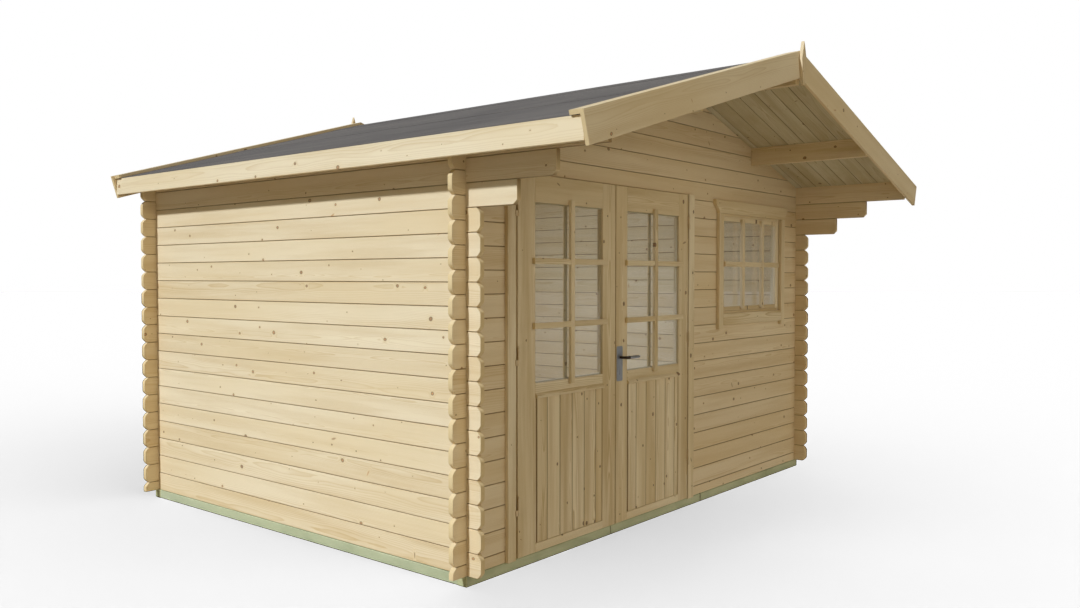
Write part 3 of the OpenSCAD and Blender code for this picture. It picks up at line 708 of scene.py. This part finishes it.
def gable(name, ax, nodes):
    p = Piece(name)
    for k in range(6):
        z0, z1 = (17.5 + k) * H, (18.5 + k) * H
        poly = [(T, z0), (W - T, z0), (W - T, z1), (T, z1)]
        poly = clip(poly, -SLOPE, 1, RZ - 0.0004)
        poly = clip(poly, SLOPE, 1, RZ + W * SLOPE - 0.0004)
        if len(poly) < 3 or abs(area(poly)) < 1e-4:
            continue
        if area(poly) < 0:
            poly = poly[::-1]
        flat = [abs(a[1] - poly[(i + 1) % len(poly)][1]) < 1e-6 for i, a in enumerate(poly)]
        p.board(ax, poly, 0, T, flat, VEE, VEE)
    return p.make(SPRUCE, nodes=nodes)


gable("front_gable_logs", FRONT, ["front_gable"])
gable("back_gable_logs", BACKW, ["back_gable"])


# stepped brackets: side logs that run forward, lower front corner taken off
for nm, front, k in (("lower_bracket_logs", 0.311, 15), ("upper_bracket_logs", 0.531, 16)):
    p = Piece(nm)
    for ax in (LEFT, RIGHT):
        add_log(p, ax, -front, D + END, k * H, (k + 1) * H, False, True, nose=0.022)
    p.make(SPRUCE, nodes=["lower_brackets" if k == 15 else "upper_brackets"])

p = Piece("wall_plate_logs")
for ax in (LEFT, RIGHT):
    z0, z1 = 17 * H, RZ + 0.0

    def post(q, ax=ax):
        if q[2] > 17.5 * H:
            x = q[0] if ax is LEFT else W - q[0]
            q = np.array([q[0], q[1], RZ + x * SLOPE - 0.0004])
        return q
    add_log(p, ax, Y0, Y1, z0, z1, jt=False, post=post)
p.make(SPRUCE, nodes=["wall_plates"])

# ------------------------------------------------------------------ foundation, floor
p = Piece("foundation_beams")
for y in (-0.005, D + 0.005 - 0.06):
    p.box((-0.005, y, -BEAM), (W + 0.005, y + 0.06, -0.0002), "x", 0.003)
for x in (-0.005, W + 0.005 - 0.06):
    p.box((x, 0.0552, -BEAM), (x + 0.06, D - 0.0552, -0.0002), "y", 0.003)
p.make(TREATED, nodes=["front_back_beams", "side_beams"])
p = Piece("floor_joist_timbers")
for i in range(1, 7):
    x = 0.06 + (W - 0.12) * i / 7 - 0.022
    p.box((x, 0.0552, -BEAM), (x + 0.044, D - 0.0552, -0.0002), "y", 0.003)
p.make(TREATED, nodes=["floor_joists"])

p = Piece("floor_planks")
y, k = 0.031, 0
while y < D - 0.032:
    y1 = min(y + 0.096, D - 0.031)
    if k == 0:
        poly = [(0.031, y), (0.297, y), (0.297, 0.0665), (2.013, 0.0665), (2.013, y), (W - 0.031, y), (W - 0.031, y1), (0.031, y1)]
    else:
        poly = [(0.031, y + 0.0003), (W - 0.031, y + 0.0003), (W - 0.031, y1), (0.031, y1)]
    p.prism(FLAT, poly, 0, 0.018, 0.0005, 0.001)
    y, k = y1, k + 1
p.make(SPRUCE, nodes=["floor_boards"])

# ------------------------------------------------------------------ roof
LSLOPE = Axes((-EAVES, 0, RZ - EAVES * SLOPE), (COS, 0, SIN), Y, (-SIN, 0, COS))
for side, ax in (("left", LSLOPE), ("right", mirrored(LSLOPE))):
    p = Piece(side + "_roof_planks")
    edges = [Y0] + [q for q in (-0.043 - 0.114 * i for i in range(8, -30, -1)) if Y0 + 0.02 < q < Y1 - 0.02] + [Y1]
    for b0, b1 in zip(edges, edges[1:]):
        # a narrow slot at each joint, with the tongue behind it
        c0, c1 = b0 + (0.0016 if b0 > Y0 else 0.0), b1 - (0.0016 if b1 < Y1 else 0.0)
        poly = [(0.0516, c0), (SLANT - 0.0006, c0), (SLANT - 0.0006, c1), (0.0516, c1)]
        p.board(ax, poly, 0, 0.019, [False, True, False, True], 0.0050, None)
        if b0 > Y0:
            tongue = [(0.0522, b0 - 0.0030), (SLANT - 0.0012, b0 - 0.0030), (SLANT - 0.0012, b0 + 0.0030), (0.0522, b0 + 0.0030)]
            p.prism(ax, tongue, 0.0115, 0.0186, 0, 0)
    p.make(SPRUCE_ROOF_SHADED, nodes=[side + "_roof_boards"])
    # felt in overlapping strips along the eaves
    p = Piece(side + "_felt_sheets")
    laps = [(0.0312, 1.0), (0.9, 1.9), (1.8, SLANT)]
    LY0, LY1 = Y0 + 0.001, Y1 - 0.001
    for i, (a0, a1) in enumerate(laps):
        lo = 0.019
        if i == 0:
            low = [(a0, lo), (a1, lo)]
        else:
            low = [(a0, lo + 0.0026), (a0 + 0.1, lo + 0.0026), (a0 + 0.13, lo + 0.0002), (a1, lo + 0.0002)]
        sec = low + [(q[0], q[1] + 0.0026) for q in low[::-1]]
        if i == 2:
            sec = [(min(q[0], SLANT + (q[1]) * SLOPE - 0.0004) if q[0] > 2 else q[0], q[1]) for q in sec]
        vax = Axes(ax.o, ax.m[0], ax.m[2], ax.m[1])
        p.prism(vax, sec, LY0, LY1, 0.0003, 0.0003, grain="c")
    p.make(FELT, nodes=[side + "_roof_felt"], smooth=0)

p = Piece("fascia_boards")
zt = RZ - EAVES * SLOPE + DECK
zf = RZ + FX * SLOPE + DECK
for ax, fw in ((Axes((0, 0, 0), X, Z, Y), 0.103), (Axes((W, 0, 0), (-1, 0, 0), Z, Y), 0.066)):
    p.stick(ax, [(FX, zf - fw), (FX + 0.02, zf - fw), (FX + 0.02, zf + 0.02 * SLOPE), (FX, zf)], Y0, Y1, 0.0018, wide=1, tone=-0.2)
p.make(SPRUCE, nodes=["eaves_fascias"])

BARGE = Axes((-EAVES, 0, zt), (COS, 0, SIN), (-SIN, 0, COS), Y)
p = Piece("barge_boards")
q = Piece("cap_boards")
for y, back in ((-CANOPY, False), (D + BACK - 0.02, True)):
    for ax in (BARGE, mirrored(BARGE)):
        bw, ct = 0.121, 0.0232
        p.prism(ax, [(0, ct), (0, -bw), (SLANT - 0.0008 - bw * SLOPE, -bw), (SLANT - 0.0008 + ct * SLOPE, ct)], y, y + 0.02, 0.0016, 0.0016, tone=-0.15)
        cy = Y0 + 0.0002 if not back else Y1 - 0.0622
        q.prism(ax, [(0.014, 0.0032), (SLANT - 0.0008, 0.0032), (SLANT - 0.0008 + 0.02 * SLOPE, 0.0232), (0.014, 0.0232)], cy, cy + 0.062, 0.0008, 0.0008, tone=-0.2)
p.make(SPRUCE, nodes=["bargeboards"])
q.make(SPRUCE, nodes=["cap_strips"])

p = Piece("finial_boards")
for y in (-CANOPY - 0.02, D + BACK):
    out = [(-0.007, 0), (0.007, 0), (0.031, 0.140), (0, 0.241), (-0.031, 0.140)]
    p.prism(FRONT, [(W / 2 + a, 2.449 + b) for a, b in out], y, y + 0.02, 0.0016, 0.0016, grain="b")
p.make(SPRUCE, nodes=["finials"])

p = Piece("purlin_beams")
zr = RZ + W / 2 * SLOPE
rz0 = zr - 0.143
p.stick(FRONT, [(W / 2 - 0.022, rz0), (W / 2 + 0.022, rz0), (W / 2 + 0.022, zr - 0.022 * SLOPE - 0.0004), (W / 2, zr - 0.0004), (W / 2 - 0.022, zr - 0.022 * SLOPE - 0.0004)], Y0, Y1, 0.002, wide=1)
p.make(JOINERY, nodes=["ridge_purlin"])
p = Piece("side_purlin_beams")
for ax in (FRONT, mirrored(FRONT)):
    x0, x1 = 0.726, 0.770
    p.stick(ax, [(x0, 19 * H), (x1, 19 * H), (x1, RZ + x1 * SLOPE - 0.0004), (x0, RZ + x0 * SLOPE - 0.0004)], Y0, Y1, 0.002, wide=1)
p.make(JOINERY, nodes=["side_purlins"])

# ------------------------------------------------------------------ door
LX0, RX1, MID = 0.345, 1.965, 1.1795
LZ0, LZ1, LY0, LY1 = 0.006, 1.903, -0.018, 0.020
GZ0, GZ1 = 0.860, 1.766
p = Piece("door_frame_posts")
for s in (0, 1):
    def xx(v, s=s):
        return v if s == 0 else DX0 + DX1 - v
    p.box((xx(0.300), 0.0002, 0.0), (xx(0.338), 0.062, DZ1 - 0.0002), "z", 0.0015)
    p.box((xx(0.3372), 0.025, 0.0), (xx(0.357), 0.0618, DZ1 - 0.0004), "z", 0.0015)
p.box((0.357, 0.0252, LZ1 - 0.014), (1.953, 0.0616, DZ1 - 0.0004), "x", 0.0015)
p.box((0.357, 0.0252, 0.0002), (1.953, 0.0616, 0.024), "x", 0.0025)
p.make(JOINERY, nodes=["door_frame"])
p = Piece("door_casing_boards")
for x0, x1 in ((0.268, 0.328), (1.974, 2.042)):
    p.box((x0, -0.022, 0.0), (x1, -0.0002, 1.906), "z", 0.002)
p.make(JOINERY, nodes=["door_casing"])

STEELS = []


def leaf(side, x0, x1, w0, w1):
    body = side + "_door"
    g0, g1 = x0 + w0, x1 - w1
    p = Piece(body + "_stile_boards")
    for a, b in ((x0, g0), (g1, x1)):
        ps = [(a, LZ0), (b, LZ0), (b, LZ1), (a, LZ1)]
        p.prism(FRONT, ps, LY0, LY1, 0.0012, 0.0012, grain="b")
    p.make(JOINERY, body, nodes=[body + "_stiles"])
    p = Piece(body + "_rail_boards")
    e = 0.0004
    for z0, z1 in ((LZ0, LZ0 + 0.044), (GZ0 - 0.076, GZ0), (GZ1, LZ1)):
        p.prism(FRONT, [(g0 + e, z0), (g1 - e, z0), (g1 - e, z1), (g0 + e, z1)], LY0, LY1, 0.0009, 0.0009)
    # sloping ledge over the boards
    sec = [(LY0 + 0.001, 0.784), (LY0 - 0.012, 0.784), (LY0 - 0.014, 0.788), (LY0 - 0.014, 0.797), (LY0 + 0.001, 0.811)]
    p.stick(Axes((0, 0, 0), Y, Z, X), sec, g0 + 0.0005, g1 - 0.0005, 0.0012, wide=1)
    # surface-mounted glazing bars that run a little way over the frame
    bw, by0, by1, lap = 0.016, LY0 - 0.020, LY0 - 0.0002, 0.024
    xc = (g0 + g1) / 2 - 0.003
    p.box((xc - bw, by0, GZ0 - lap), (xc + bw, by1, GZ1 + lap), "z", 0.002)
    for zc in (1.148, 1.472):
        for a, b in ((g0 - lap, xc - bw), (xc + bw, g1 + lap)):
            p.box((a, by0 + 0.0006, zc - 0.015), (b, by1, zc + 0.015), "x", 0.002)
    # inner bars and beads round the glass
    for zc in (1.148, 1.472):
        p.box((g0 + 0.001, LY1 - 0.010, zc - 0.013), (g1 - 0.001, LY1 - 0.001, zc + 0.013), "x", 0.0015)
    p.box((xc - 0.013, LY1 - 0.0095, GZ0 + 0.001), (xc + 0.013, LY1 - 0.0006, GZ1 - 0.001), "z", 0.0015)
    for y0, y1 in ((-0.0058, 0.006),):
        for a, b in ((g0, g0 + 0.006), (g1 - 0.006, g1)):
            p.box((a, y0, GZ0), (b, y1, GZ1), "z", 0.0012)
        for a, b in ((GZ0, GZ0 + 0.006), (GZ1 - 0.006, GZ1)):
            p.box((g0 + 0.006, y0, a), (g1 - 0.006, y1, b), "x", 0.0012)
    p.make(JOINERY, body, nodes=[body + "_rails"])
    p = Piece(body + "_panel_boards")
    xs = [g0 + 0.019] + [g0 + 0.101 + 0.105 * i for i in range(9) if g0 + 0.101 + 0.105 * i < g1 - 0.03] + [g1]
    # thinner tongue beside the first stile
    p.board(FRONT, [(g0, LZ0 + 0.044), (g0 + 0.0192, LZ0 + 0.044), (g0 + 0.0192, GZ0 - 0.076), (g0, GZ0 - 0.076)], LY0 + 0.0122, LY1 - 0.0092, [False] * 4, 0.001, 0.001, grain="b")
    for i, (a, b) in enumerate(zip(xs, xs[1:])):
        za, zb = LZ0 + 0.044, GZ0 - 0.076
        p.board(FRONT, [(a, za), (b, za), (b, zb), (a, zb)], LY0 + 0.004, LY1 - 0.009, [False, True, False, True], 0.0044, 0.0036, grain="b")
    p.make(JOINERY, body, nodes=[body + "_boards"])


leaf("left", LX0, MID - 0.003, 0.134, 0.119)
leaf("right", MID + 0.006, RX1, 0.110, 0.106)

HY = LY0 - 0.007
HZ = (0.220, 0.960, 1.690)


def screw(piece, at, normal, r=0.0036):
    at, n = np.asarray(at, float), unit(normal)
    prof = [(r, -0.001), (r, 0.0002), (r * 0.8, 0.0008), (r * 0.35, 0.0010), (r * 0.28, 0.0004)]
    piece.tube([at + n * h for _, h in prof], [a for a, _ in prof], 14, up=X if abs(n[0]) < 0.5 else Z)


p = Piece("door_hinge_pin_parts")
for x, s in ((LX0 - 0.003, -1), (RX1 + 0.003, 1)):
    for z in HZ:
        p.tube([(x, HY, z + h) for h in (-0.0020, -0.0012, 0.026, 0.0275)], [0.0045, 0.0058, 0.0058, 0.0048], 20, up=X)
        p.tube([(x, HY, z + h) for h in (0.0275, 0.094, 0.096)], [0.003, 0.003, 0.0022], 16, up=X)
        reach = 0.0218 if s < 0 else 0.0138
        p.box((x + s * 0.0035, HY - 0.0014, z - 0.001), (x + s * reach, HY + 0.0028, z + 0.0275), "z", 0.0006)
        for h in (0.006, 0.020):
            screw(p, (x + s * (reach - 0.0038), HY - 0.0014, z + h), (0, -1, 0), 0.0022)
p.make(ZINC, nodes=["door_hinge_pins"], smooth=35)
for side, x, s in (("left", LX0 - 0.003, 1), ("right", RX1 + 0.003, -1)):
    p = Piece(side + "_door_hinge_barrels")
    for z in HZ:
        b = z + 0.0285
        # barrel as a ring round the pin
        n, pts, faces = 24, [], []
        for h, r in ((0.0, 0.0034), (0.0, 0.0050), (0.001, 0.0060), (0.059, 0.0060), (0.060, 0.0050), (0.060, 0.0034)):
            for k in range(n):
                t = 2 * math.pi * k / n
                pts.append((x + r * math.cos(t), HY + r * math.sin(t), b + h))
        for lv in range(6):
            for k in range(n):
                j = (k + 1) % n
                a, c = lv * n, ((lv + 1) % 6) * n
                faces.append([a + k, a + j, c + j, c + k])
        p.solid(pts, faces, (Z, X, Y), (x, HY, b), flip=False)
        p.box((x + s * 0.0046, HY + 0.0035, b + 0.0006), (x + s * 0.0158, HY + 0.0069, b + 0.0594), "z", 0.0008)
        for h in (0.012, 0.048):
            screw(p, (x + s * 0.0108, HY + 0.0035, b + h), (0, -1, 0), 0.0024)
    p.make(ZINC, side + "_door", nodes=[side + "_door_knuckles"], smooth=35)

# handle: long plates with rounded corners, a keyhole, screws and a lever
PX, PZ = MID + 0.038, 0.941


def rounded(cx, cz, w, z0, z1, r, n=6):
    out = []
    for ex, ez, t0 in ((w / 2 - r, z0 + r, -90), (w / 2 - r, z1 - r, 0), (-w / 2 + r, z1 - r, 90), (-w / 2 + r, z0 + r, 180)):
        for i in range(n + 1):
            t = math.radians(t0 + 90 * i / n)
            out.append((cx + ex + r * math.cos(t), cz + ez + r * math.sin(t)))
    return out


p = Piece("handle_plate_pair")
for c0, c1, s in ((LY0 - 0.0040, LY0, -1), (LY1, LY1 + 0.0040, 1)):
    p.prism(FRONT, rounded(PX, PZ, 0.056, -0.133, 0.063, 0.009), c0, c1, 0.0012 if s < 0 else 0.0002, 0.0012 if s > 0 else 0.0002, grain="b")
    face = c0 if s < 0 else c1
    for h in (-0.122, 0.052):
        screw(p, (PX, face, PZ + h), (0, s, 0), 0.0038)
    # collar round the spindle, and the lock cylinder with its slot
    n = 28
    pts, faces = [], []
    prof = ((0.0130, 0.0), (0.0130, 0.0030), (0.0122, 0.0040), (0.0085, 0.0040), (0.0085, 0.0))
    for r, h in prof:
        for k in range(n):
            t = 2 * math.pi * k / n
            pts.append((PX + r * math.cos(t), face + s * h, PZ + r * math.sin(t)))
    for lv in range(5):
        for k in range(n):
            j = (k + 1) % n
            a, c = lv * n, ((lv + 1) % 5) * n
            faces.append([a + k, a + j, c + j, c + k])
    p.solid(pts, faces, (Y, X, Z), (PX, face, PZ), flip=s < 0)
    p.prism(Axes((PX, face, PZ - 0.072), X, Z, (0, s, 0)), [(0.0085 * math.cos(t), 0.0085 * math.sin(t)) for t in np.linspace(0, 2 * math.pi, 25)[:-1]], -0.001, 0.0022, 0.0002, 0.0008)
    p.prism(Axes((PX, face, PZ - 0.088), X, Z, (0, s, 0)), rounded(0, 0, 0.010, -0.011, 0.011, 0.0048), -0.001, 0.0022, 0.0002, 0.0008)
p.make(STEEL, "right_door", nodes=["door_handle_plates"], smooth=35)

p = Piece("lever_handle")
q = Piece("lever_handle_neck")
for s, y in ((-1, LY0), (1, LY1)):
    out = s * 0.050
    path, rad = [], []
    for h in (-0.012, 0.002, 0.014, 0.030):
        path.append((PX, y + s * h, PZ))
        rad.append(0.0078)
    for i in range(1, 7):
        t = math.radians(90 * i / 6)
        path.append((PX + 0.020 * (1 - math.cos(t)), y + s * (0.030 + 0.020 * math.sin(t)), PZ))
        rad.append(0.0078 + 0.0006 * i / 6)
    path.append((PX + 0.030, y + out, PZ))
    rad.append(0.0086)
    q.tube(path, rad, 24, up=Z)
    path, rad = [], []
    for v in (0.0298, 0.032, 0.07, 0.10, 0.118, 0.126, 0.129):
        path.append((PX + v, y + out, PZ))
        rad.append({0.0298: 0.0080, 0.118: 0.0084, 0.126: 0.0066, 0.129: 0.0030}.get(v, 0.0088))
    p.tube(path, rad, 24, up=Z)
q.tube([(PX, LY0 - 0.002, PZ), (PX, LY1 + 0.002, PZ)], [0.006, 0.006], 12)
q.make(NECK_DARK_AND_SHADE, "lever", smooth=40)
p.make(STEEL, "lever", nodes=["door_lever"], smooth=40)

# ------------------------------------------------------------------ window
wx0, wx1, wz0, wz1, wg = WX0 + 0.004, WX1 - 0.004, WZ0 + 0.004, WZ1 - 0.004, 0.050
p = Piece("window_frame_and_bars")
fo = 0.022
for a, b in ((wx0, wx0 + fo), (wx1 - fo, wx1)):
    p.box((a, 0.0006, wz0), (b, 0.046, wz1), "z", 0.0015)
for a, b in ((wz0, wz0 + fo), (wz1 - fo, wz1)):
    p.box((wx0 + fo, 0.0006, a), (wx1 - fo, 0.046, b), "x", 0.0015)
gp = 0.0012
for a, b in ((wx0 + fo + gp, wx0 + wg), (wx1 - wg, wx1 - fo - gp)):
    p.box((a, 0.0, wz0 + fo + gp), (b, 0.040, wz1 - fo - gp), "z", 0.0015)
for a, b in ((wz0 + fo + gp, wz0 + wg), (wz1 - wg, wz1 - fo - gp)):
    p.box((wx0 + wg, 0.0002, a), (wx1 - wg, 0.040, b), "x", 0.0015)
lap = 0.018
for xc in (2.709, 2.999):
    p.box((xc - 0.017, -0.0215, wz0 + wg - lap), (xc + 0.017, -0.0003, wz1 - wg + lap), "z", 0.002)
for a, b in ((wx0 + wg - lap, 2.692), (2.726, 2.982), (3.016, wx1 - wg + lap)):
    p.box((a, -0.0209, 1.462), (b, -0.0003, 1.496), "x", 0.002)
p.make(JOINERY, nodes=["window_frame"])

p = Piece("window_casing_boards")
ct = 0.025
for a in (2.361, 3.292):
    p.box((a, -ct, 1.049), (a + 0.055, -0.0002, 1.812), "z", 0.002)
p.box((2.4165, -ct, 1.074), (3.2915, -0.0002, 1.150), "x", 0.002)
half = [(3.347, 0.0), (3.347, 0.008), (3.350, 0.016), (3.358, 0.026), (3.372, 0.037), (3.384, 0.046), (3.391, 0.056), (3.393, 0.066), (3.393, 0.086)]
head = [(2.361, 0.0)] + half + [(2 * 2.854 - a, b) for a, b in half[::-1][:-1]]
p.prism(FRONT, [(a, 1.813 + b) for a, b in head], -ct, -0.0002, 0.002, 0.0003)
p.make(JOINERY, nodes=["window_casing"])

for n in ("left_door_glass", "right_door_glass", "window_glass"):
    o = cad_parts[n]
    o.data.materials.clear()
    o.data.materials.append(GLASS)

# ------------------------------------------------------------------ camera, floor, light
cam = bpy.data.cameras.new("camera")
cam.sensor_width, cam.lens = 36.0, 927.54 / 1080 * 36
cam.clip_end = 200
co = bpy.data.objects.new("camera", cam)
bpy.context.scene.collection.objects.link(co)
co.location = (-3.0852 - W / 2, -2.9779 - YM, 1.3909 + BEAM)
co.rotation_euler = (math.pi / 2 - 0.02883, 0.0, -0.88273)
bpy.context.scene.camera = co

k = Nodes("studio_floor")
fc = k.new("ShaderNodeTexCoord").outputs["Object"]
tone = k.noise(k.scale(fc, 0.6, 0.6, 0.6), 1.0, 2.0, 0.5)
bs = k.new("ShaderNodeBsdfPrincipled")
k.put(bs.inputs["Base Color"], k.mix(tone, rgb(0.55, 0.50, 0.42), rgb(0.57, 0.52, 0.44)))
bs.inputs["Roughness"].default_value = 0.9
bs.inputs["Specular IOR Level"].default_value = 0.05
k.t.links.new(bs.outputs[0], k.out.inputs[0])
me = bpy.data.meshes.new("floor")
R, n = 90.0, 96
me.from_pydata([(R * math.cos(2 * math.pi * i / n), R * math.sin(2 * math.pi * i / n), 0.0) for i in range(n)], [], [list(range(n))])
me.materials.append(k.m)
fl = bpy.data.objects.new("floor", me)
bpy.context.scene.collection.objects.link(fl)
fl.is_shadow_catcher = True     # white ground that only shows soft shadows
fl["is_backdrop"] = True

# a pale backdrop to look at, and a softer one to light by
world = bpy.data.worlds.new("studio")
bpy.context.scene.world = world
world.use_nodes = True
wt = world.node_tree
wt.nodes.clear()
wo = wt.nodes.new("ShaderNodeOutputWorld")
seen, lit, pick = wt.nodes.new("ShaderNodeBackground"), wt.nodes.new("ShaderNodeBackground"), wt.nodes.new("ShaderNodeMixShader")
ray = wt.nodes.new("ShaderNodeLightPath")
seen.inputs[0].default_value, seen.inputs[1].default_value = (1.0, 1.0, 1.0, 1.0), 1.0
lit.inputs[0].default_value, lit.inputs[1].default_value = (1.0, 0.96, 0.70, 1.0), 0.120
wt.links.new(ray.outputs["Is Camera Ray"], pick.inputs[0])
wt.links.new(lit.outputs[0], pick.inputs[1])
wt.links.new(seen.outputs[0], pick.inputs[2])
wt.links.new(pick.outputs[0], wo.inputs[0])


def lamp(name, kind, energy, color, **sets):
    li = bpy.data.lights.new(name, kind)
    li.energy, li.color = energy, color
    for key, val in sets.items():
        setattr(li, key, val)
    ob = bpy.data.objects.new(name, li)
    bpy.context.scene.collection.objects.link(ob)
    return ob


# low sun from the left and behind, soft light from the front, a weaker one
# for the right and back, and some light in the room
key = lamp("key", "SUN", 4.15, (0.680, 0.775, 0.985), angle=math.radians(3))
key.rotation_euler = Vector((1.0, -0.21, -0.83)).to_track_quat("-Z", "Y").to_euler()
fill = lamp("fill", "SUN", 0.80, (1.0, 0.955, 0.960), angle=math.radians(70))
fill.rotation_euler = Vector((0.0, 1.0, -0.25)).to_track_quat("-Z", "Y").to_euler()
back = lamp("back", "SUN", 0.40, (1.0, 0.97, 0.92), angle=math.radians(60))
back.rotation_euler = Vector((-1.0, -0.55, -0.35)).to_track_quat("-Z", "Y").to_euler()
# the same sun for the ground alone, with no cast shadow, so the ground stays
# white and sends its light back up
ground_key = lamp("ground_key", "SUN", 3.00, (0.690, 0.775, 0.960), angle=math.radians(3), use_shadow=False)
ground_key.rotation_euler = key.rotation_euler
for li, state in ((key, "EXCLUDE"), (ground_key, "INCLUDE")):
    group = bpy.data.collections.new(li.name + "_receivers")
    group.objects.link(fl)
    group.collection_objects[0].light_linking.link_state = state
    li.light_linking.receiver_collection = group
room = lamp("room", "AREA", 60.0, (0.46, 0.62, 1.0), shape="DISK", size=1.6)
room.location = tuple(np.array([1.50, 1.35, 2.12]) + SHIFT)
room.rotation_euler = Vector((0.12, 0.18, -1.0)).to_track_quat("-Z", "Y").to_euler()

bpy.context.scene.view_settings.view_transform = "Standard"

lo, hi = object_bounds()
